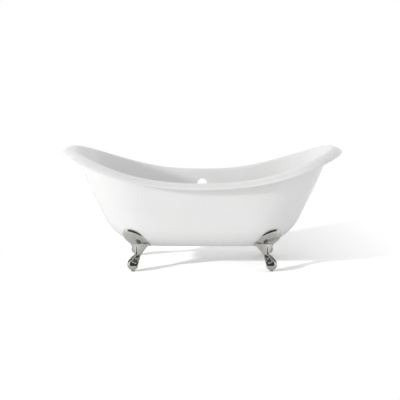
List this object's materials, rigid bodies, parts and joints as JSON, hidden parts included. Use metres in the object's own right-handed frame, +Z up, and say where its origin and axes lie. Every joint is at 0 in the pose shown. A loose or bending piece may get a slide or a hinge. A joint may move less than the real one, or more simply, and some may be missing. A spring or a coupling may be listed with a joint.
{
  "type": "soaking bathtub",
  "caption": "Freestanding double-ended soaking bathtub with raised sloping ends and a rolled rim, standing on ball feet with domed shields and levelling screws.",
  "frame": {"origin": "on the floor under the middle of the tub", "axes": "+X along the tub, +Y to the side with the overflow hole, +Z up"},
  "size_m": [1.801, 0.7828, 0.77],
  "materials": {
    "enamel": "glossy white enamel",
    "nickel": "polished nickel",
    "steel": "plain zinc",
    "nylon": "matt"
  },
  "bodies": {
    "tub": {"tub_shell": "enamel", "claw_foot_front_left": "nickel", "foot_stud_front_left": "steel", "foot_washer_front_left": "steel", "foot_nut_front_left": "steel", "claw_foot_front_right": "nickel", "foot_stud_front_right": "steel", "foot_washer_front_right": "steel", "foot_nut_front_right": "steel", "claw_foot_rear_left": "nickel", "foot_stud_rear_left": "steel", "foot_washer_rear_left": "steel", "foot_nut_rear_left": "steel", "claw_foot_rear_right": "nickel", "foot_stud_rear_right": "steel", "foot_washer_rear_right": "steel", "foot_nut_rear_right": "steel"},
    "leveller_front_left": {"levelling_screw_front_left": "steel", "glide_pad_front_left": "nylon"},
    "leveller_front_right": {"levelling_screw_front_right": "steel", "glide_pad_front_right": "nylon"},
    "leveller_rear_left": {"levelling_screw_rear_left": "steel", "glide_pad_rear_left": "nylon"},
    "leveller_rear_right": {"levelling_screw_rear_right": "steel", "glide_pad_rear_right": "nylon"}
  },
  "joints": [
    {"name": "levelling_front_left", "type": "slide", "parent": "tub", "child": "leveller_front_left", "axis": [0, 0, -1], "range_m": [0, 0.012]},
    {"name": "levelling_front_right", "type": "slide", "parent": "tub", "child": "leveller_front_right", "axis": [0, 0, -1], "range_m": [0, 0.012]},
    {"name": "levelling_rear_left", "type": "slide", "parent": "tub", "child": "leveller_rear_left", "axis": [0, 0, -1], "range_m": [0, 0.012]},
    {"name": "levelling_rear_right", "type": "slide", "parent": "tub", "child": "leveller_rear_right", "axis": [0, 0, -1], "range_m": [0, 0.012]}
  ]
}
